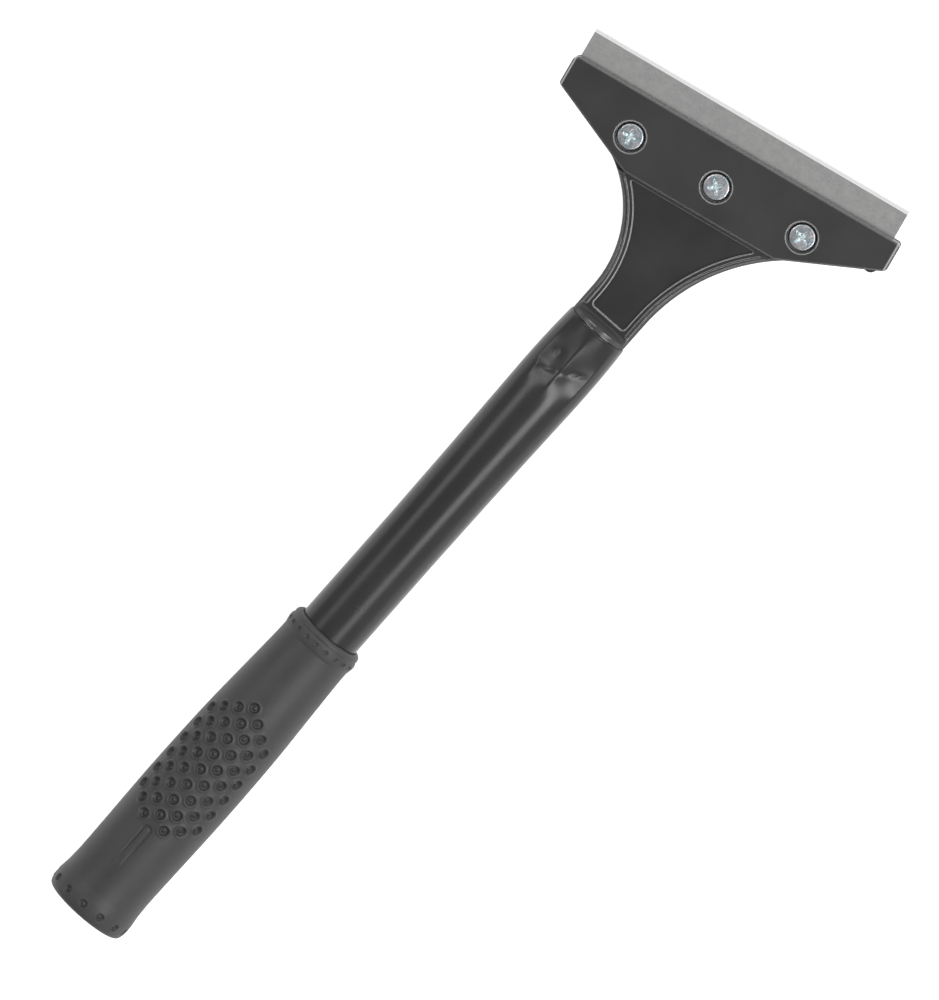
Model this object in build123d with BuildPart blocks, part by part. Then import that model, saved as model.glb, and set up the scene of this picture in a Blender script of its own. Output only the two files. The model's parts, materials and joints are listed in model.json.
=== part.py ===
from build123d import *
from math import cos, radians, sin
import os

# Short hand floor scraper. A die-cast head carries a 4 inch blade under a clamp plate with three
# screws. The head's tang is crimped into a steel tube, and a rubber grip covers the tube's end.
# Frame: +Y along the handle towards the blade, +Z out of the screw side, lying on its back.
# Everything is in millimetres.

# Overall layout
blade_length = 101.6
skew = 11.2                 # the blade's edge is this far from square to the handle, degrees
grip_end_radius = 13.2      # the thickest place on the tool, which it rests on

# Handle tube
tube_radius = 9.42
tube_wall = 1.2
tube_gap = 0.1              # between the tube's end and the casting's shoulder
crimp_setback = 16.2        # from the tube's end back to the centre of the crimp
crimp_depth = 1.3
crimp_ball_radius = 9.0

# Grip
grip_length = 106.3
grip_reach = 221.5          # from the tube's head end to the closed end of the grip
grip_end_wall = 3.5

# Head
neck_half_width = 9.2
neck_radius_left = 33.8
neck_radius_right = 54.9
screw_reach = 52.85         # from the tube's end to the middle screw, along the handle
screw_offset = -1.42        # from the handle's axis to the middle screw, across it
plate_half_width = 52.8
plate_front = 12.35         # screw line to the plate's blade-side edge
plate_back = -9.4           # screw line to the plate's straight lower edge
left_shoulder = (-plate_half_width, 3.0)    # where each end turns into its sloping lower edge
right_shoulder = (plate_half_width, 3.6)
left_back = (-24.6, plate_back)             # where each sloping edge meets the straight one
right_back = (24.1, plate_back)
plate_thickness = 3.6
left_front_corner = 1.9     # corner radii: the left one beside the blade is rounder than the rest
right_front_corner = 1.2
plate_corner = 1.3
plate_gap = 0.15            # between the plate's lower edge and the neck's shoulder
back_inset = 0.25           # how far the casting's front edge stands behind the plate's

# Heights above the handle's axis
casting_bottom = -5.5
blade_seat = 0.6
blade_land = 1.45           # carries the plate's lower half, a hair below the blade's top
neck_border = 4.0
bead_height = 0.6
panel_depth = 0.9

# Blade
blade_thickness = 0.9
blade_play = 0.02           # above and below the blade
blade_edge = 21.25          # screw line to the cutting edge
blade_depth = 18.0
blade_shift = -0.63         # the blade sits this far to one side of the middle screw
bevel_width = 1.06
bevel_drop = 0.75

# Screws, M4 with a cross recess
screw_spacing = 27.9
screw_radius = 2.0
screw_head_radius = 3.8
screw_head_height = 1.9
screw_length = 7.2
counterbore_radius = 4.35
counterbore_chamfer = 0.3
counterbore_depth = 2.3
tapped_radius = 2.06
clearance_radius = 2.25
tapped_depth = 6.0
recess_width = 4.2
recess_slot = 0.95
recess_depth = 1.5

# The frame's origin is under the middle of the tool's box.
blade_left = -blade_length / 2 + blade_shift
blade_right = blade_length / 2 + blade_shift
tool_length = grip_reach + screw_reach + blade_edge * cos(radians(skew)) + blade_right * sin(radians(skew))
left_reach = -screw_offset - blade_left * cos(radians(skew)) + blade_edge * sin(radians(skew))
right_reach = screw_offset + right_shoulder[0] * cos(radians(skew)) - right_shoulder[1] * sin(radians(skew))
axis_x = (left_reach - right_reach) / 2
axis_z = grip_end_radius
tube_end_y = grip_reach - tool_length / 2
screw_x = axis_x + screw_offset
screw_y = tube_end_y + screw_reach

plate_bottom = axis_z + blade_seat + blade_thickness + 2 * blade_play
plate_top = plate_bottom + plate_thickness
border_z = axis_z + neck_border

# The head's own plane: X along the blade, Y towards the cutting edge, origin at the middle screw.
head_x = (cos(radians(skew)), sin(radians(skew)), 0)
head = Plane(origin=(screw_x, screw_y, 0), x_dir=head_x, z_dir=(0, 0, 1))
along_handle = Plane(origin=(axis_x, tube_end_y, axis_z), x_dir=(0, 1, 0), z_dir=(0, 0, 1))


def head_point(u, v):
    """The frame's X and Y of a point u along the blade and v towards its edge from the middle screw."""
    point = head.from_local_coords((u, v, 0))
    return (point.X, point.Y)


def wing_y(shoulder, back, x):
    """The Y where the sloping lower edge of one wing would cross a line of constant X."""
    outer = head_point(*shoulder)
    inner = head_point(*back)
    return outer[1] + (inner[1] - outer[1]) * (x - outer[0]) / (inner[0] - outer[0])


def casting_outline(plane, inset):
    """The casting's outline, drawn in by inset: a straight stem that flares into the two wings."""
    left_x = axis_x - neck_half_width
    right_x = axis_x + neck_half_width
    left_corner = (left_x, wing_y(left_shoulder, left_back, left_x))
    right_corner = (right_x, wing_y(right_shoulder, right_back, right_x))
    front = plate_front - back_inset
    with BuildSketch(plane) as outline:
        with BuildLine():
            Polyline(
                (left_x, tube_end_y),
                left_corner,
                head_point(*left_shoulder),
                head_point(-plate_half_width, front),
                head_point(plate_half_width, front),
                head_point(*right_shoulder),
                right_corner,
                (right_x, tube_end_y),
                close=True,
            )
        make_face()
        fillet(outline.vertices().sort_by_distance(left_corner)[0], neck_radius_left)
        fillet(outline.vertices().sort_by_distance(right_corner)[0], neck_radius_right)
        fillet(outline.vertices().sort_by_distance(head_point(-plate_half_width, front))[0], left_front_corner)
        fillet(outline.vertices().sort_by_distance(head_point(plate_half_width, front))[0], right_front_corner)
        fillet(outline.vertices().sort_by_distance(head_point(*left_shoulder))[0], plate_corner)
        if inset > 0:
            offset(amount=-inset, kind=Kind.INTERSECTION)
    return outline.sketch


# The tube is squeezed oval where it is crimped onto the tang: half width and half height by the
# distance back from its head end.
tube_sections = [
    (0.0, 9.56, 9.28),
    (5.0, 9.83, 9.01),
    (12.0, 10.06, 8.78),
    (19.0, 10.11, 8.73),
    (32.0, 9.93, 8.91),
    (53.0, 9.63, 9.21),
    (80.0, tube_radius, tube_radius),
]


def oval_loft(sections, inset):
    """A solid through the tube's oval sections, each one drawn in by inset."""
    with BuildPart() as solid:
        for back, half_width, half_height in sections:
            plane = Plane(origin=(axis_x, tube_end_y - back, axis_z), x_dir=(1, 0, 0), z_dir=(0, -1, 0))
            with BuildSketch(plane):
                Ellipse(half_width - inset, half_height - inset)
        loft(ruled=True)
    return solid.part


crimp_center = (
    axis_x,
    tube_end_y - crimp_setback,
    axis_z + tube_sections[3][2] + crimp_ball_radius - crimp_depth,
)

# Steel tube, open at the head end, with the crimp's dimple pressed in on the screw side.
straight_length = grip_reach - grip_end_wall - tube_sections[-1][0]
straight_start = Plane(
    origin=(axis_x, tube_end_y - tube_sections[-1][0], axis_z), x_dir=(1, 0, 0), z_dir=(0, -1, 0)
)
oval_outside = oval_loft(tube_sections, 0)
oval_inside = oval_loft(tube_sections, tube_wall)
with BuildPart() as crimp_bump:
    add(oval_inside)
    with Locations(crimp_center):
        Sphere(crimp_ball_radius + tube_wall, mode=Mode.INTERSECT)
with BuildPart() as handle_tube:
    add(oval_outside)
    with BuildSketch(straight_start):
        Circle(tube_radius)
    extrude(amount=straight_length)
    add(oval_inside, mode=Mode.SUBTRACT)
    with BuildSketch(straight_start):
        Circle(tube_radius - tube_wall)
    extrude(amount=straight_length, mode=Mode.SUBTRACT)
    add(crimp_bump.part)
    with Locations(crimp_center):
        Sphere(crimp_ball_radius, mode=Mode.SUBTRACT)

# Rubber grip: a closed sleeve with a waist near its end, a belly, a taper and a collar.
# Radius by the distance from the closed end.
grip_profile = [
    (5.4, 13.20),
    (7.3, 12.95),
    (9.6, 12.72),
    (14.0, 12.56),
    (24.0, 12.67),
    (44.5, 12.95),
    (58.0, 12.87),
    (71.7, 12.54),
    (85.4, 11.88),
    (98.6, 11.31),
    (100.4, 11.31),
]
collar_radius = 11.62
collar_end = grip_length - 2.1
lip_radius = 10.75
with BuildPart() as grip:
    grip_plane = Plane(
        origin=(axis_x, tube_end_y - grip_reach, axis_z), x_dir=(0, 1, 0), z_dir=(0, 0, 1)
    )
    with BuildSketch(grip_plane):
        with BuildLine():
            Polyline(
                (0, 0),
                (0, 11.7),
                (0.35, 12.4),
                (1.3, 12.9),
                (3.3, grip_end_radius),
                grip_profile[0],
            )
            Spline(*grip_profile)
            Polyline(
                grip_profile[-1],
                (grip_profile[-1][0] + 1.1, collar_radius),
                (collar_end, collar_radius),
                (grip_length - 0.9, 11.2),
                (grip_length, lip_radius),
                (grip_length, tube_radius),
                (grip_end_wall, tube_radius),
                (grip_end_wall, 0),
                (0, 0),
            )
        make_face()
    revolve(axis=Axis((axis_x, 0, axis_z), (0, 1, 0)))

# Die-cast head: wings under the blade, a flared neck with a bead down each side and a sunk panel
# between them, a round shoulder against the tube and a tang inside it.
neck_top = Plane.XY.offset(border_z)
bead_outer_inset = 0.9
bead_inner_inset = 2.05
bead_start = 3.8            # from the tube's end to the beads' rounded ends
bead_rounding = 0.3
panel_inset = 3.2
panel_start = 4.5
panel_front = -10.35        # screw line back to the panel's blade-side edge
panel_corner = 1.2          # by the shoulder; the corners by the plate are sharper
panel_sharp_corner = 0.5
seat_length = 2 * plate_half_width + 20
step_v = plate_back - plate_gap

with BuildPart() as bead_blank:
    with BuildSketch(neck_top):
        add(casting_outline(neck_top, bead_outer_inset))
        add(casting_outline(neck_top, bead_inner_inset), mode=Mode.SUBTRACT)
    extrude(amount=bead_height)
    with BuildSketch(neck_top):
        with Locations((axis_x, tube_end_y + bead_start / 2)):
            Rectangle(4 * neck_half_width, bead_start)
    extrude(amount=bead_height, mode=Mode.SUBTRACT)
    with BuildSketch(head.offset(border_z)):
        with Locations((0, step_v + seat_length / 2)):
            Rectangle(2 * seat_length, seat_length)
    extrude(amount=bead_height, mode=Mode.SUBTRACT)
    fillet(bead_blank.edges().filter_by(Axis.Z).group_by(Axis.Y)[0], 0.5)
    fillet(bead_blank.faces().group_by(Axis.Z)[-1].edges(), bead_rounding)

with BuildPart() as panel_blank:
    with BuildSketch(neck_top):
        add(casting_outline(neck_top, panel_inset))
        with Locations((axis_x, tube_end_y + panel_start / 2)):
            Rectangle(4 * neck_half_width, panel_start, mode=Mode.SUBTRACT)
    extrude(amount=-panel_depth)
    with BuildSketch(head.offset(border_z)):
        with Locations((0, panel_front + seat_length / 2)):
            Rectangle(2 * seat_length, seat_length)
    extrude(amount=-panel_depth, mode=Mode.SUBTRACT)
    fillet(panel_blank.edges().filter_by(Axis.Z).sort_by(Axis.Y)[:2], panel_corner)
    fillet(panel_blank.edges().filter_by(Axis.Z).sort_by(Axis.Y)[-2:], panel_sharp_corner)

tang_length = 24.0
shoulder_start = tube_gap
shoulder_flat = 1.5
shoulder_run = 1.2
side_lean = 0.85            # the neck's sides lean in by this much above the handle's axis
back_rounding = 2.4
boss_place = 48.2           # along the blade from the middle screw
with BuildPart() as tang:
    add(oval_inside)
    tang_end = Plane(origin=(axis_x, tube_end_y - tang_length, axis_z), x_dir=(1, 0, 0), z_dir=(0, -1, 0))
    with BuildSketch(tang_end):
        Circle(2 * tube_radius)
    extrude(amount=tube_sections[-1][0], mode=Mode.SUBTRACT)
    chamfer(tang.faces().sort_by(Axis.Y)[0].edges(), 0.8)
    with Locations(crimp_center):
        Sphere(crimp_ball_radius + tube_wall, mode=Mode.SUBTRACT)

with BuildPart() as head_casting:
    bottom_plane = Plane.XY.offset(axis_z + casting_bottom)
    with BuildSketch(bottom_plane):
        add(casting_outline(bottom_plane, 0))
    extrude(amount=neck_border - casting_bottom)
    top_face = head_casting.faces().sort_by(Axis.Z)[-1]
    chamfer(top_face.edges(), side_lean, neck_border - 0.1, reference=top_face)
    fillet(head_casting.faces().sort_by(Axis.Z)[0].edges(), back_rounding)
    # The seat for the plate's lower half, then the deeper seat for the blade.
    with BuildSketch(head.offset(axis_z + blade_land)):
        with Locations((0, step_v + seat_length / 2)):
            Rectangle(seat_length, seat_length)
    extrude(amount=neck_border, mode=Mode.SUBTRACT)
    blade_back = blade_edge - blade_depth
    with BuildSketch(head.offset(axis_z + blade_seat)):
        with Locations((0, blade_back + seat_length / 2)):
            Rectangle(seat_length, seat_length)
    extrude(amount=neck_border, mode=Mode.SUBTRACT)
    add(bead_blank.part)
    add(panel_blank.part, mode=Mode.SUBTRACT)
    # Round shoulder that the tube's end stops against.
    with BuildSketch(along_handle):
        with BuildLine():
            Line((shoulder_start, 0), (shoulder_start, neck_half_width))
            Line((shoulder_start, neck_half_width), (shoulder_flat, neck_half_width))
            ThreePointArc(
                (shoulder_flat, neck_half_width),
                (shoulder_flat + 0.62 * shoulder_run, 0.85 * neck_half_width),
                (shoulder_flat + shoulder_run, neck_border - panel_depth),
            )
            Line((shoulder_flat + shoulder_run, neck_border - panel_depth), (shoulder_flat + shoulder_run, 0))
            Line((shoulder_flat + shoulder_run, 0), (shoulder_start, 0))
        make_face()
    revolve(axis=Axis((axis_x, 0, axis_z), (0, 1, 0)))
    # The tang, with the pocket that the crimp is pressed into, and its root through the gap.
    add(tang.part)
    with BuildSketch(Plane(origin=(axis_x, tube_end_y, axis_z), x_dir=(1, 0, 0), z_dir=(0, 1, 0))):
        Ellipse(tube_sections[0][1] - tube_wall, tube_sections[0][2] - tube_wall)
    extrude(amount=1.0)
    # A small boss on the right wing's lower edge.
    with BuildSketch(head.offset(axis_z + casting_bottom)):
        with Locations((boss_place, right_shoulder[1] - 0.85)):
            Circle(2.3)
    extrude(amount=blade_seat - casting_bottom)
    # Tapped holes for the three screws.
    with BuildSketch(head.offset(axis_z + blade_land)):
        with GridLocations(screw_spacing, 1, 3, 1):
            Circle(tapped_radius)
    extrude(amount=-tapped_depth, mode=Mode.SUBTRACT)

# Clamp plate over the blade, with three counterbored holes.
with BuildPart() as clamp_plate:
    with BuildSketch(head.offset(plate_bottom)):
        with BuildLine():
            Polyline(
                left_back,
                left_shoulder,
                (-plate_half_width, plate_front),
                (plate_half_width, plate_front),
                right_shoulder,
                right_back,
                close=True,
            )
        make_face()
    extrude(amount=plate_thickness)
    left_front = head_point(-plate_half_width, plate_front)
    fillet(clamp_plate.edges().filter_by(Axis.Z).sort_by_distance(left_front)[1:], plate_corner)
    fillet(clamp_plate.edges().filter_by(Axis.Z).sort_by_distance(left_front)[0], left_front_corner)
    fillet(clamp_plate.faces().sort_by(Axis.Z)[-1].edges(), 0.45)
    with BuildSketch(head.offset(plate_top)):
        with GridLocations(screw_spacing, 1, 3, 1):
            Circle(counterbore_radius)
    extrude(amount=-counterbore_depth, mode=Mode.SUBTRACT)
    with BuildSketch(head.offset(plate_top)):
        with GridLocations(screw_spacing, 1, 3, 1):
            Circle(clearance_radius)
    extrude(amount=-plate_thickness, mode=Mode.SUBTRACT)
    rims = clamp_plate.edges().filter_by(GeomType.CIRCLE).group_by(Axis.Z)[-1]
    chamfer(rims, counterbore_chamfer)

# Blade: a plain strip, ground on the screw side.
blade_bottom = axis_z + blade_seat + blade_play
with BuildPart() as blade:
    across = Plane(origin=head.from_local_coords((blade_left, 0, 0)), x_dir=head.y_dir, z_dir=head.x_dir)
    with BuildSketch(across):
        with BuildLine():
            Polyline(
                (blade_edge - blade_depth, blade_bottom),
                (blade_edge, blade_bottom),
                (blade_edge, blade_bottom + blade_thickness - bevel_drop),
                (blade_edge - bevel_width, blade_bottom + blade_thickness),
                (blade_edge - blade_depth, blade_bottom + blade_thickness),
                close=True,
            )
        make_face()
    extrude(amount=blade_length)

# The three screws are alike. Each is its own piece, because each turns on its own axis.
head_seat = plate_top - counterbore_depth
screws = {}
for name, place in (("left", -1), ("middle", 0), ("right", 1)):
    seat_plane = Plane(
        origin=head.from_local_coords((place * screw_spacing, 0, head_seat)), x_dir=head_x, z_dir=(0, 0, 1)
    )
    with BuildPart() as screw:
        with BuildSketch(seat_plane):
            Circle(screw_head_radius)
        extrude(amount=screw_head_height)
        fillet(screw.edges().group_by(Axis.Z)[-1], 0.5)
        with BuildSketch(seat_plane):
            Circle(screw_radius)
        extrude(amount=-screw_length)
        chamfer(screw.edges().group_by(Axis.Z)[0], 0.4)
        with BuildSketch(seat_plane.offset(screw_head_height)):
            Rectangle(recess_width, recess_slot)
            Rectangle(recess_slot, recess_width)
        extrude(amount=-recess_depth, taper=14, mode=Mode.SUBTRACT)
    screws["clamp_screw_" + name] = screw.part

pieces = {
    "head_casting": head_casting.part,
    "clamp_plate": clamp_plate.part,
    "blade": blade.part,
    "handle_tube": handle_tube.part,
    "grip": grip.part,
    **screws,
}
os.makedirs("parts", exist_ok=True)
for name, piece in pieces.items():
    piece.label = name
    export_step(piece, "parts/" + name + ".step")
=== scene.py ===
import json
from math import atan2, cos, exp, pi, radians, sin, sqrt

import bmesh
import bpy
from mathutils import Matrix, Vector


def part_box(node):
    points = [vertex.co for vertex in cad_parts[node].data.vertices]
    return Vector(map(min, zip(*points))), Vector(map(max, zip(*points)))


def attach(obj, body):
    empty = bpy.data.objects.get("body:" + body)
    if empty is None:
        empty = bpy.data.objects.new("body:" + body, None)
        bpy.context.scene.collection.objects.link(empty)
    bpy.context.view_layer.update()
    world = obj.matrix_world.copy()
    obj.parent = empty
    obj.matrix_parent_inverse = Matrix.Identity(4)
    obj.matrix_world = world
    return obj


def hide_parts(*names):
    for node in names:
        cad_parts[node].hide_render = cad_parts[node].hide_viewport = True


# The floor scraper's looks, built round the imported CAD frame. +Y runs along the handle towards the
# blade and +Z out of the screw side. Lengths are in millimetres until a mesh is made.

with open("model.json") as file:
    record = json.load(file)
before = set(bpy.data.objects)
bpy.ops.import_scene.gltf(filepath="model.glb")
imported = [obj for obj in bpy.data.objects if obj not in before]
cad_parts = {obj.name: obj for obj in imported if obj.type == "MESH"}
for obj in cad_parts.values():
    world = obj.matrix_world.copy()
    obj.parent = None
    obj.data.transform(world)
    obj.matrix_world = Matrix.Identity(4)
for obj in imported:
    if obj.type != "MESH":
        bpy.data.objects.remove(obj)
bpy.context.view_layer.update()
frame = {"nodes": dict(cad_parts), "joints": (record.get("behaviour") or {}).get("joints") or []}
MM = 0.001

tube_low, tube_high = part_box("handle_tube")
grip_low, grip_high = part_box("grip")
axis_x = (grip_low.x + grip_high.x) / 2 / MM
axis_z = (grip_low.z + grip_high.z) / 2 / MM
tube_end = tube_high.y / MM
grip_end = grip_low.y / MM
blade_draw = next(joint for joint in frame["joints"] if joint["name"] == "blade_draw")
towards_edge = Vector(blade_draw["axis"]).normalized()
along_blade = Vector((towards_edge.y, -towards_edge.x, 0))


# ---------------------------------------------------------------- helpers

def ringed_piece(name, rows, angles, capped):
    """A closed mesh from rings of points: capped at both ends, or joined from the last to the first."""
    count = len(angles)
    bm = bmesh.new()
    rings = [[bm.verts.new(Vector(row(angle)) * MM) for angle in angles] for row in rows]
    pairs = list(zip(rings, rings[1:]))
    if capped:
        bm.faces.new(rings[0])
        bm.faces.new(rings[-1])
    else:
        pairs.append((rings[-1], rings[0]))
    for ring, following in pairs:
        for j in range(count):
            k = (j + 1) % count
            bm.faces.new((ring[j], ring[k], following[k], following[j]))
    bmesh.ops.recalc_face_normals(bm, faces=bm.faces)
    for face in bm.faces:
        face.smooth = True
    mesh = bpy.data.meshes.new(name)
    bm.to_mesh(mesh)
    bm.free()
    piece = bpy.data.objects.new(name, mesh)
    bpy.context.scene.collection.objects.link(piece)
    return piece


def ease(low, high, value):
    """0 below low, 1 above high, and smooth between."""
    t = min(1.0, max(0.0, (value - low) / (high - low)))
    return t * t * (3 - 2 * t)


def curve_through(points):
    """A smooth function through (position, value) pairs."""
    xs = [p[0] for p in points]
    ys = [p[1] for p in points]
    steps = [(ys[i + 1] - ys[i]) / (xs[i + 1] - xs[i]) for i in range(len(xs) - 1)]
    inner_slopes = [(a + b) / 2 if a * b > 0 else 0 for a, b in zip(steps, steps[1:])]
    slopes = [steps[0], *inner_slopes, steps[-1]]

    def value(x):
        x = min(max(x, xs[0]), xs[-1])
        i = 0
        while i < len(xs) - 2 and xs[i + 1] <= x:
            i += 1
        span = xs[i + 1] - xs[i]
        t = (x - xs[i]) / span
        rise = (3 * t**2 - 2 * t**3) * (ys[i + 1] - ys[i])
        lean = (t**3 - 2 * t**2 + t) * slopes[i] + (t**3 - t**2) * slopes[i + 1]
        return ys[i] + rise + span * lean

    return value


def turn_between(a, b):
    """The angle from b to a, between half a turn back and half a turn on."""
    return (a - b + pi) % (2 * pi) - pi


# ---------------------------------------------------------------- crimped tube

tube_radius = 9.42
tube_wall = 1.2
tube_length = (tube_high.y - tube_low.y) / MM
# The crimping has flattened the tube: its half width and half height, by the distance from its end.
half_width = curve_through([
    (0, 9.56), (5, 9.83), (12, 10.06), (19, 10.11), (32, 9.93), (53, 9.63), (80, 9.42),
])
half_height = curve_through([
    (0, 9.28), (5, 9.01), (12, 8.78), (19, 8.73), (32, 8.91), (53, 9.21), (80, 9.42),
])
crimp_back = 15.3                # from the tube's end to the middle of the crimp
crimp_twist = radians(25)        # how far the groove slants
crimp_depth = 1.14               # the deepest place
crimp_half_width = 9.3
crimp_length = 42
round_steps = 6
end_round = 0.45
tube_sides = 240


def crimp_dent(x, back):
    """How far the wall is pushed in: a flat each side of a sharp ridge, cut by a slanting groove."""
    y = crimp_back - back
    across = y * cos(crimp_twist) - x * sin(crimp_twist)
    if y > 0:
        reach = exp(-((y / 10.9) ** 2))
    else:
        reach = exp(-((y / 6.3) ** 4)) if x < 0 else exp(-((y / 5.9) ** 2))
    lean = 0.53 - (0.12 * ease(0, 3, -y) if x < 0 else 0)
    flat = max(0, sqrt(tube_radius**2 - min(x * x, 80)) - tube_radius + lean * (abs(x) - 0.3))
    groove = 1 + 0.3 * exp(-((across / 0.75) ** 2))
    middle = 0.3 * exp(-(x * x + y * y) / 0.8)
    hollow = 0.3 * exp(-((x + 4.6) ** 2 + (y - 4.2) ** 2) / 2.9)
    return min(reach * flat * groove + middle + hollow, crimp_depth)


def tube_row(back, inset, dented=False):
    """A ring of the tube, by its distance from the tube's end and how far inside the skin it lies."""
    def point(angle):
        x = (half_width(back) - inset) * sin(angle)
        z = (half_height(back) - inset) * cos(angle)
        if dented and z > 0 and abs(x) < crimp_half_width:
            dent = crimp_dent(x, back) * ease(0, 3, z)
            x -= dent * sin(angle)
            z -= dent * cos(angle)
        return (axis_x + x, tube_end - back, axis_z + z)
    return point


rows = [tube_row(0, tube_wall)]
for k in range(round_steps):
    turn = k / (round_steps - 1) * pi / 2
    rows.append(tube_row(end_round * (1 - cos(turn)), end_round * (1 - sin(turn))))
back = end_round + 0.3
while back < crimp_length:
    rows.append(tube_row(back, 0, True))
    back += 0.3
while back < tube_length - 3:
    rows.append(tube_row(back, 0))
    back += 4
rows.append(tube_row(tube_length, 0))
rows.append(tube_row(tube_length, tube_wall))
for back in (80, 53, 32, 19, 12, 5):
    rows.append(tube_row(back, tube_wall))
tube_angles = [2 * pi * j / tube_sides for j in range(tube_sides)]
tube = ringed_piece("crimped_tube", rows, tube_angles, False)
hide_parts("handle_tube")
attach(tube, "handle")


# ---------------------------------------------------------------- moulded grip

# Distances along the grip are from its closed end.
grip_radius = curve_through([
    (1.3, 12.86), (2.2, 13.02), (3.3, 13.12), (4.4, 13.14), (5.4, 13.12), (6.4, 13.0),
    (7.3, 12.9), (8.4, 12.76), (9.6, 12.70), (14.0, 12.56), (24.0, 12.67), (34.1, 12.84),
    (44.5, 12.95), (51.2, 12.94), (58.0, 12.87), (64.9, 12.75), (71.7, 12.54), (78.6, 12.22),
    (85.4, 11.88), (92.3, 11.55), (98.0, 11.33), (100.4, 11.31), (101.2, 11.52),
    (101.9, 11.60), (102.9, 11.61), (103.6, 11.60), (104.0, 11.52),
])
radius_limit = 13.18             # keeps the relief inside the CAD grip
skin_low, skin_high = 1.3, 104.0  # the stretch that carries relief
dot_pitch = 5.78
dot_angle = radians(17.4)        # between columns of dots
patch_angle = radians(-7.6)      # the patch's middle, round the grip from the top
patch_middle = 54.6
dot_reach = 2.8                  # past this distance a dot leaves no relief
# Each dot is its distance along the grip, its angle round it and its size: the patch, then the ring of
# dots by the closed end, then the small ones on the collar.
dots = []
for column, count in zip(range(-3, 4), (6, 7, 8, 8, 8, 7, 6)):
    middle = patch_middle + (dot_pitch / 2 if column == 0 else 0)
    for k in range(count):
        dots.append((middle + (k - (count - 1) / 2) * dot_pitch, patch_angle + column * dot_angle, 1.0))
dots += [(3.6, radians(-5.9 + k * 360 / 13), 0.8) for k in range(13)]
dots += [(102.9, radians(-2 + k * 360 / 20), 0.42) for k in range(20)]
bar_low, bar_high, bar_half = 17.0, 32.4, 1.15


def dot_height(distance):
    """A ring, a groove inside it and a dome in the middle, by the distance from the dot's centre."""
    ring = 0.28 * exp(-(((distance - 1.78) / 0.28) ** 2))
    groove = -0.85 * (1 - ease(0.95, 1.60, distance))
    dome = 0.50 * exp(-((distance / 0.55) ** 2))
    return ring + groove + dome


def bar_height(along, across):
    """A shallow raised bar in a groove, which fades towards the grip's closed end."""
    nearest = min(max(along, bar_low), bar_high - bar_half)
    distance = sqrt((along - nearest) ** 2 + across**2)
    groove = -0.45 * exp(-(((distance - bar_half) / 0.35) ** 2))
    top = 0.10 * (1 - ease(bar_half - 0.6, bar_half, distance))
    return ease(bar_low - 1, bar_low + 10, along) * (groove + top)


def grip_relief(s, angle, radius):
    """How far the skin stands out at a distance along the grip and an angle round it."""
    height = 0
    for along, place, size in dots:
        if abs(along - s) < dot_reach * size:
            around = turn_between(angle, place) * radius
            distance = sqrt((along - s) ** 2 + around**2) / size
            if distance < dot_reach:
                height += dot_height(distance) * size
    across = turn_between(angle, patch_angle) * radius
    if bar_low - 2 < s < bar_high + 2 and abs(across) < 3:
        height += bar_height(s, across)
    return height


def grip_row(s, radius, relief=False):
    def point(angle):
        r = min(radius_limit, radius + grip_relief(s, angle, radius)) if relief else radius
        return (axis_x + r * sin(angle), grip_end + s, axis_z + r * cos(angle))
    return point


# The angles are closer together over the dots.
angles = []
angle = radians(-74)
while angle < radians(286) - radians(0.5):
    angles.append(angle)
    angle += radians(0.9 if angle < radians(60) else 1.5)
closed_end = [
    (0.5, 2.0), (0.1, 3.4), (0.0, 5.0), (0.0, 11.2), (0.06, 11.7), (0.2, 12.1), (0.45, 12.45), (0.85, 12.7),
]
rows = [grip_row(s, r) for s, r in closed_end]
s = skin_low
while s < skin_high:
    rows.append(grip_row(s, grip_radius(s), True))
    s += 0.16 if s < 7 or s > 100 else 0.2 if 30 < s < 80 else 0.32
# The lip round the tube, and then the bore back to the closed end.
lip = [
    (104.1, 11.42), (104.3, 11.32), (104.5, 11.28), (104.7, 11.31), (104.9, 11.36), (105.2, 11.33),
    (105.5, 11.22), (105.8, 11.05), (106.05, 10.86), (106.2, 10.65), (106.28, 10.4), (106.3, 10.1),
    (106.3, 9.75), (106.22, 9.5), (106.0, 9.43), (3.9, 9.43), (3.5, 9.0), (3.5, 2.0),
]
rows += [grip_row(s, r) for s, r in lip]
grip = ringed_piece("moulded_grip", rows, angles, True)
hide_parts("grip")
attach(grip, "handle")


# ---------------------------------------------------------------- screws

screw_sides = 144
screw_angles = [2 * pi * j / screw_sides for j in range(screw_sides)]
cross_depth = 0.9
head_height = 1.9
shank_radius = 2.0


def screw_row(centre, top, radius, down, turned=0.0, recessed=False):
    """A ring of the screw, down from its top. recessed sinks the cross, which is turned, into it."""
    def point(angle):
        x = radius * cos(angle)
        y = radius * sin(angle)
        z = top - down
        if recessed:
            u = abs(x * cos(turned) + y * sin(turned))
            v = abs(y * cos(turned) - x * sin(turned))
            for far, near in ((u, v), (v, u)):
                wall = 1 - ease(0.15, 0.85 - 0.12 * far, near)
                reach = 1 - ease(0.9, 2.5, far)
                z = min(z, top - down - cross_depth * wall * reach)
        return (centre.x / MM + x, centre.y / MM + y, z)
    return point


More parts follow.
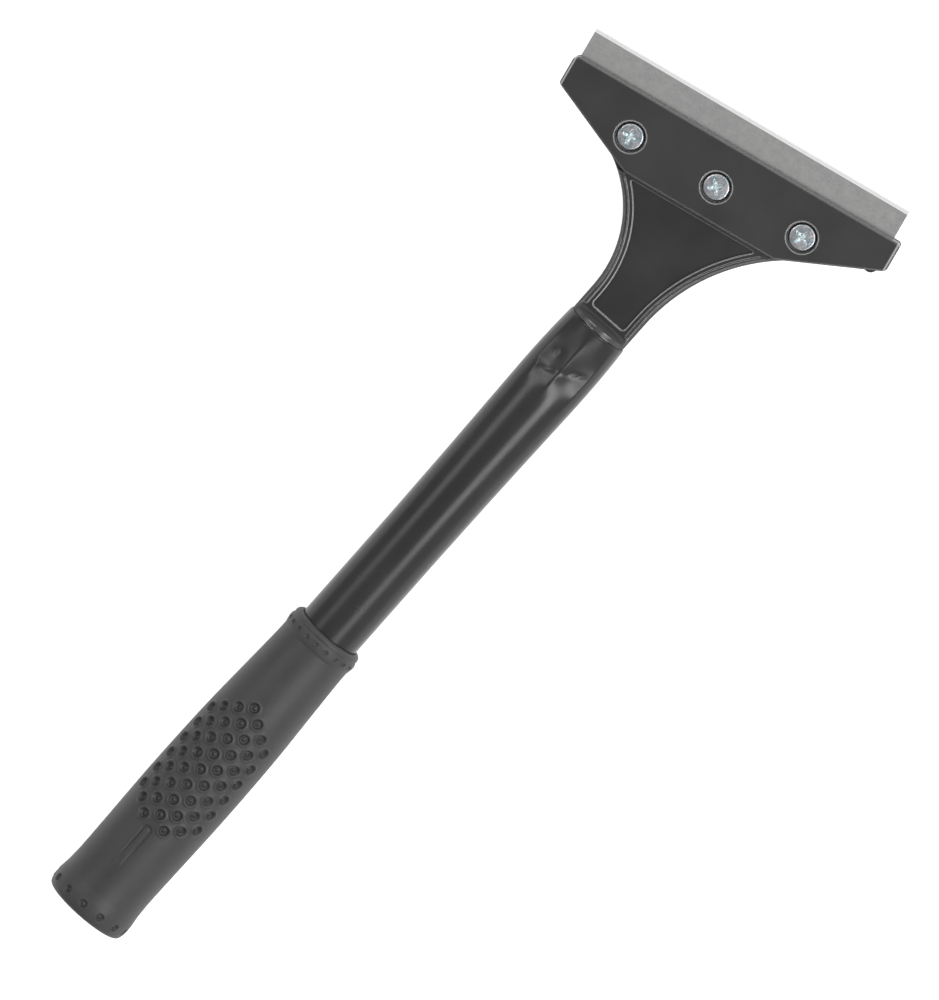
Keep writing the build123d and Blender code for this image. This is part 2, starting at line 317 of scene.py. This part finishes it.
screws = []
for side, turned in (("left", 12), ("middle", 47), ("right", 76)):
    low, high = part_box("clamp_screw_" + side)
    centre = (low + high) / 2
    top = high.z / MM
    radius = (high.x - low.x) / 2 / MM
    rows = [screw_row(centre, top, 0.02, 0.02, radians(turned), True)]
    r = 0.09
    while r < radius - 0.36:
        rows.append(screw_row(centre, top, r, 0.16 * (r / radius) ** 2, radians(turned), True))
        r += 0.07
    for r, down in ((0.34, 0.17), (0.2, 0.22), (0.1, 0.3), (0.03, 0.42), (0.0, 0.6), (0.0, 1.88)):
        rows.append(screw_row(centre, top, radius - r, down))
    rows.append(screw_row(centre, top, radius - 0.1, head_height))
    rows.append(screw_row(centre, top, shank_radius + 0.1, head_height))
    for down in [2.0 + 0.5 * k for k in range(13)]:
        rows.append(screw_row(centre, top, shank_radius, down))
    rows.append(screw_row(centre, top, 1.6, 9.05))
    screw = ringed_piece("cross_screw_" + side, rows, screw_angles, True)
    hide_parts("clamp_screw_" + side)
    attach(screw, "screw_" + side)
    screws.append(screw)


# ---------------------------------------------------------------- materials

def new_material(name):
    material = bpy.data.materials.new(name)
    material.use_nodes = True
    tree = material.node_tree
    return material, tree, tree.nodes["Principled BSDF"]


def feed(tree, value, socket):
    """Links value to the socket if it is a socket too, and otherwise sets the socket to it."""
    if isinstance(value, bpy.types.NodeSocket):
        tree.links.new(value, socket)
    else:
        socket.default_value = value


def coordinates(tree, kind="Object"):
    return tree.nodes.new("ShaderNodeTexCoord").outputs[kind]


def noise(tree, scale, detail=3.0, vector=None):
    made = tree.nodes.new("ShaderNodeTexNoise")
    made.inputs["Scale"].default_value = scale
    made.inputs["Detail"].default_value = detail
    tree.links.new(coordinates(tree) if vector is None else vector, made.inputs["Vector"])
    return made.outputs["Fac"]


def ramp(tree, value, low, high, start=0.3, stop=0.7):
    """low where value is start or less, high where it is stop or more, and even between."""
    made = tree.nodes.new("ShaderNodeMapRange")
    made.inputs["From Min"].default_value = start
    made.inputs["From Max"].default_value = stop
    made.inputs["To Min"].default_value = low
    made.inputs["To Max"].default_value = high
    tree.links.new(value, made.inputs["Value"])
    return made.outputs["Result"]


def mix(tree, factor, first, second):
    """Blends two colours, each given as a grey, as RGB or as a socket."""
    made = tree.nodes.new("ShaderNodeMix")
    made.data_type = "RGBA"
    tree.links.new(factor, made.inputs[0])
    for place, colour in ((6, first), (7, second)):
        if not isinstance(colour, bpy.types.NodeSocket):
            rgb = colour if isinstance(colour, tuple) else (colour, colour, colour)
            colour = (*rgb, 1)
        feed(tree, colour, made.inputs[place])
    return made.outputs[2]


def blend(tree, factor, first, second):
    """Blends two values as mix does two colours."""
    made = tree.nodes.new("ShaderNodeMix")
    for place, value in ((0, factor), (2, first), (3, second)):
        feed(tree, value, made.inputs[place])
    return made.outputs[0]


def bump(tree, height, strength, distance, normal=None):
    made = tree.nodes.new("ShaderNodeBump")
    made.inputs["Strength"].default_value = strength
    made.inputs["Distance"].default_value = distance
    tree.links.new(height, made.inputs["Height"])
    if normal is not None:
        tree.links.new(normal, made.inputs["Normal"])
    return made.outputs["Normal"]


def multiply(tree, first, second):
    made = tree.nodes.new("ShaderNodeMath")
    made.operation = "MULTIPLY"
    for place, value in ((0, first), (1, second)):
        feed(tree, value, made.inputs[place])
    return made.outputs[0]


def dot(tree, first, second):
    made = tree.nodes.new("ShaderNodeVectorMath")
    made.operation = "DOT_PRODUCT"
    for place, value in ((0, first), (1, second)):
        feed(tree, value, made.inputs[place])
    return made.outputs["Value"]


def split_axes(tree, vector):
    made = tree.nodes.new("ShaderNodeSeparateXYZ")
    tree.links.new(vector, made.inputs[0])
    return made.outputs


def band(tree, value, rise, fall, height=1):
    """height between rise and fall and 0 outside, where each is a (start, stop) pair in millimetres."""
    rising = ramp(tree, value, 0, height, rise[0] * MM, rise[1] * MM)
    falling = ramp(tree, value, 1, 0, fall[0] * MM, fall[1] * MM)
    return multiply(tree, rising, falling)


def rounded_edges(tree, radius):
    """The normal with every edge rounded, a mask of the edges that the edgings paint as highlights, and one
    of what faces up.
    """
    rounded = tree.nodes.new("ShaderNodeBevel")
    rounded.samples = 6
    rounded.inputs["Radius"].default_value = radius
    flat = tree.nodes.new("ShaderNodeNewGeometry").outputs["Normal"]
    upward = ramp(tree, split_axes(tree, flat)["Z"], 0, 1, 0.45, 0.8)
    edges = ramp(tree, dot(tree, rounded.outputs["Normal"], flat), 1, 0, 0.93, 0.998)
    return rounded.outputs["Normal"], multiply(tree, edges, upward), upward


def furthest(node, direction):
    """How far the node reaches in a direction, in millimetres."""
    return max(v.co.dot(direction) for v in frame["nodes"][node].data.vertices) / MM


blade_tip = furthest("blade", towards_edge)
wall_roughness = 0.75            # walls are duller than what faces up


def coated(name, colour, gloss, grain, sheen=0.5, edging=None):
    """A black coating: slow changes of gloss and a fine grain, with edging's treatment of its edges, which
    paints highlights and shade on them.
    """
    material, tree, shader = new_material(name)
    slow = noise(tree, 70)
    fine = noise(tree, grain[0], 4)
    shade = mix(tree, ramp(tree, slow, 0, 1), tuple(c * 0.85 for c in colour), colour)
    shine = ramp(tree, slow, *gloss)
    normal = None
    if edging is not None:
        normal, shade, glossy = edging(tree, shade)
        shine = blend(tree, glossy, wall_roughness, shine)
    shader.inputs["Specular IOR Level"].default_value = sheen
    tree.links.new(shade, shader.inputs["Base Color"])
    tree.links.new(shine, shader.inputs["Roughness"])
    tree.links.new(bump(tree, fine, grain[1], 0.0002, normal), shader.inputs["Normal"])
    return material


def casting_edging(tree, shade):
    """Painted highlights on the edges, fainter under the plate where a painted shadow dims them, two
    painted highlight strokes on the rim where the tube meets it, painted shade on the walls and a shoulder
    painted paler as lit.
    """
    normal, edges, upward = rounded_edges(tree, 0.36 * MM)
    place = coordinates(tree)
    x, y, _ = split_axes(tree, place)
    # Painted highlights: by the tube's end the edge highlights are kept only in two strokes across the rim.
    rim = ramp(tree, y, 0.9, 0, (tube_end + 2.0) * MM, (tube_end + 2.3) * MM)
    highlight_strokes = [
        band(tree, x, (axis_x + low, axis_x + low + 0.8), (axis_x + high - 0.8, axis_x + high))
        for low, high in ((-3.9, -0.4), (1.6, 5.0))
    ]
    patches = multiply(tree, rim, blend(tree, highlight_strokes[0], highlight_strokes[1], 1))
    shoulder = ramp(tree, y, 1, 0, (tube_end + 3.0) * MM, (tube_end + 3.4) * MM)
    reach = dot(tree, place, towards_edge)
    # Painted shadow: the edge highlights fall to 0.3 of their strength under the plate's back edge.
    plate_shadow = ramp(tree, reach, 1, 0.3, (blade_tip - 32.1) * MM, (blade_tip - 31.7) * MM)
    edges = multiply(tree, edges, blend(tree, shoulder, plate_shadow, patches))
    # Painted shade darkens the walls to 0.006, and painted light makes the shoulder by the tube 0.030.
    shade = mix(tree, shoulder, mix(tree, upward, 0.006, shade), 0.030)
    # Painted highlight: the edge mask pales the colour towards 0.42.
    return normal, mix(tree, edges, shade, 0.42), upward


def plate_edging(tree, shade):
    """A front wall painted paler as lit from the front, painted highlights on the edges at the back, and a
    painted highlight line just inside each end.
    """
    normal, edges, upward = rounded_edges(tree, 0.50 * MM)
    facing = dot(tree, tree.nodes.new("ShaderNodeNewGeometry").outputs["Normal"], towards_edge)
    # Painted light: the front wall is paler, 0.07, as if lit from the front, and carries no edge
    # highlights.
    front = ramp(tree, facing, 0, 1, 0.10, 0.30)
    shade = mix(tree, front, shade, 0.07)
    edges = multiply(tree, edges, ramp(tree, facing, 1, 0, 0.02, 0.10))
    place = coordinates(tree)
    # Painted highlight: a pale line just inside each end, on top of the edge highlights.
    for outward in (-along_blade, along_blade):
        end = furthest("clamp_plate", outward)
        reach = dot(tree, place, outward)
        line = band(tree, reach, (end - 0.95, end - 0.60), (end - 0.50, end - 0.35), 0.54)
        edges = blend(tree, line, edges, 1)
    # Painted highlight: the edge mask pales the colour towards 0.5.
    return normal, mix(tree, edges, shade, 0.5), blend(tree, front, upward, 1)


cast_black = coated(
    "cast_black", (0.0105, 0.0105, 0.0109), (0.32, 0.40), (2600, 0.08), edging=casting_edging
)
plate_black = coated(
    "plate_black", (0.0140, 0.0140, 0.0145), (0.36, 0.44), (2600, 0.08), edging=plate_edging
)
tube_black = coated("tube_black", (0.020, 0.020, 0.0206), (0.22, 0.28), (900, 0.03), sheen=0.3)


def moulded_rubber():
    """Matt black rubber with a fine grain."""
    material, tree, shader = new_material("grip_rubber")
    slow = noise(tree, 90)
    fine = noise(tree, 3800, 5)
    tree.links.new(mix(tree, ramp(tree, slow, 0, 1), 0.0180, 0.0225), shader.inputs["Base Color"])
    tree.links.new(ramp(tree, slow, 0.50, 0.58), shader.inputs["Roughness"])
    tree.links.new(bump(tree, fine, 0.15, 0.0002), shader.inputs["Normal"])
    return material


grip_rubber = moulded_rubber()


def ground_steel():
    """Ground spring steel: fine lines along the blade, faint stains, and a bevel painted in bands as
    reflections.
    """
    material, tree, shader = new_material("blade_steel")
    where = coordinates(tree)
    turned = tree.nodes.new("ShaderNodeMapping")
    turned.inputs["Rotation"].default_value = (0, 0, -atan2(along_blade.y, along_blade.x))
    turned.inputs["Scale"].default_value = (1, 2.5, 1)
    tree.links.new(where, turned.inputs["Vector"])
    lines = noise(tree, 900, 5, turned.outputs["Vector"])
    stains = noise(tree, 420, 5)
    reach = dot(tree, where, towards_edge)
    face = mix(tree, ramp(tree, lines, 0, 1, 0.35, 0.65), 0.56, 0.65)
    face = mix(tree, ramp(tree, stains, 0, 0.6, 0.35, 0.65), face, (0.59, 0.58, 0.56))
    # Painted reflection: the bevel is coloured in bands, 0.53, 0.46 and 0.54 towards the edge.
    bevel, inner, outer = (
        ramp(tree, reach, 0, 1, (blade_tip - start) * MM, (blade_tip - stop) * MM)
        for start, stop in ((1.08, 1.04), (0.78, 0.68), (0.48, 0.38))
    )
    bevel_reflection_bands = mix(tree, outer, mix(tree, inner, 0.53, 0.46), 0.54)
    tree.links.new(mix(tree, bevel, face, bevel_reflection_bands), shader.inputs["Base Color"])
    shader.inputs["Metallic"].default_value = 1
    tree.links.new(ramp(tree, stains, 0.18, 0.26), shader.inputs["Roughness"])
    tree.links.new(bump(tree, lines, 0.10, 0.0001), shader.inputs["Normal"])
    return material


blade_steel = ground_steel()


def zinc_plate():
    """Zinc plate with a thin passivated tint, paler in the cross and on all that lies more than 0.2 to 0.45
    mm below the head's top.
    """
    material, tree, shader = new_material("zinc")
    patches = noise(tree, 700, 3)
    wear = noise(tree, 1300, 3)
    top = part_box("clamp_screw_left")[1].z
    height = split_axes(tree, coordinates(tree))["Z"]
    # Paler in the cross and below the head's rim.
    below_top = ramp(tree, height, 1, 0, top - 0.45 * MM, top - 0.2 * MM)
    face = mix(tree, ramp(tree, patches, 0, 1, 0.4, 0.6), (0.27, 0.32, 0.35), (0.40, 0.38, 0.39))
    tree.links.new(mix(tree, below_top, face, (0.60, 0.68, 0.69)), shader.inputs["Base Color"])
    shader.inputs["Metallic"].default_value = 1
    tree.links.new(ramp(tree, wear, 0.28, 0.42), shader.inputs["Roughness"])
    tree.links.new(bump(tree, wear, 0.35, 0.0003), shader.inputs["Normal"])
    return material


zinc = zinc_plate()


def finish(piece, material):
    piece.data.materials.clear()
    piece.data.materials.append(material)


finish(frame["nodes"]["head_casting"], cast_black)
finish(frame["nodes"]["clamp_plate"], plate_black)
finish(frame["nodes"]["blade"], blade_steel)
finish(tube, tube_black)
finish(grip, grip_rubber)
for screw in screws:
    finish(screw, zinc)


# ---------------------------------------------------------------- floor, light and camera

floor_half = 2
floor_corners = [(x * floor_half, y * floor_half, 0) for x, y in ((-1, -1), (1, -1), (1, 1), (-1, 1))]
floor_mesh = bpy.data.meshes.new("floor")
floor_mesh.from_pydata(floor_corners, [], [(0, 1, 2, 3)])
floor = bpy.data.objects.new("floor", floor_mesh)
bpy.context.scene.collection.objects.link(floor)
floor_white, _, floor_shader = new_material("floor_white")
floor_shader.inputs["Base Color"].default_value = (0.6, 0.6, 0.6, 1)
floor_shader.inputs["Roughness"].default_value = 0.9
floor_shader.inputs["Emission Color"].default_value = (1, 1, 1, 1)
floor_shader.inputs["Emission Strength"].default_value = 0.72
floor_mesh.materials.append(floor_white)

# The room is dimmer on the left, and dimmest overhead.
world = bpy.data.worlds.new("studio")
bpy.context.scene.world = world
world.use_nodes = True
world_tree = world.node_tree
background = world_tree.nodes["Background"]
sky = split_axes(world_tree, coordinates(world_tree, "Generated"))
side_light = ramp(world_tree, sky["X"], 0.55, 0.95, -0.9, 0.5)
fade = ramp(world_tree, sky["Z"], 0, 1, 0.1, 0.9)
world_tree.links.new(blend(world_tree, fade, side_light, 0.45), background.inputs["Strength"])
background.inputs["Color"].default_value = (1, 1, 1, 1)

tool_middle = Vector((axis_x * MM, 0, axis_z * MM))


def softbox(name, direction, distance, width, length, power):
    """A rectangular light that faces the tool, its length as near the handle's line as it goes."""
    data = bpy.data.lights.new(name, "AREA")
    data.shape = "RECTANGLE"
    data.size = width
    data.size_y = length
    data.energy = power
    light = bpy.data.objects.new(name, data)
    bpy.context.scene.collection.objects.link(light)
    away = Vector(direction).normalized()
    across = Vector((0, 1, 0)).cross(away).normalized()
    along = away.cross(across)
    place = tool_middle + away * distance
    light.matrix_world = Matrix((
        (across.x, along.x, away.x, place.x),
        (across.y, along.y, away.y, place.y),
        (across.z, along.z, away.z, place.z),
        (0, 0, 0, 1),
    ))


# On each side, a long light and a stronger short one towards the head.
for side, lean, long_power, head_power in (("right", 35, 3.6, 7.0), ("left", -41, 1.6, 3.4)):
    across, up = sin(radians(lean)), cos(radians(lean))
    softbox("softbox_" + side, (across, 0, up), 1.2, 0.40, 1.5, long_power)
    softbox("softbox_" + side + "_head", (across, 0.15, up), 1.2, 0.40, 0.7, head_power)
softbox("softbox_front", (0.1, cos(radians(28)), sin(radians(28))), 1.4, 1.4, 0.6, 2.7)
softbox("softbox_front_high", (0.0, sin(radians(42)), cos(radians(42))), 1.3, 1.2, 0.3, 3.5)

# The camera looks down on the screw side, leaning 9 degrees towards the blade.
tilt = radians(9)
handle_slope = radians(48.5)      # of the handle in the picture
picture_height = 1000
picture_scale = 0.2807 * MM       # metres at the tool for one step of the picture
sight_right, sight_up = 124.26, 166.62  # steps from the picture's middle to the tube's head end
sensor = 36
camera_distance = 6.0
to_camera = Vector((0, sin(tilt), cos(tilt)))
along_view = Vector((0, cos(tilt), -sin(tilt)))
right = Vector((1, 0, 0)) * sin(handle_slope) + along_view * cos(handle_slope)
upward = -Vector((1, 0, 0)) * cos(handle_slope) + along_view * sin(handle_slope)
sight = Vector((axis_x * MM, (tube_end - 1.8) * MM, axis_z * MM))
target = sight - right * sight_right * picture_scale - upward * sight_up * picture_scale
place = target + to_camera * camera_distance
camera = bpy.data.objects.new("camera", bpy.data.cameras.new("camera"))
bpy.context.scene.collection.objects.link(camera)
camera.matrix_world = Matrix((
    (right.x, upward.x, to_camera.x, place.x),
    (right.y, upward.y, to_camera.y, place.y),
    (right.z, upward.z, to_camera.z, place.z),
    (0, 0, 0, 1),
))
camera.data.sensor_width = sensor
camera.data.lens = sensor * camera_distance / (picture_height * picture_scale)
camera.data.clip_end = 20
bpy.context.scene.camera = camera
bpy.context.scene.view_settings.view_transform = "Standard"
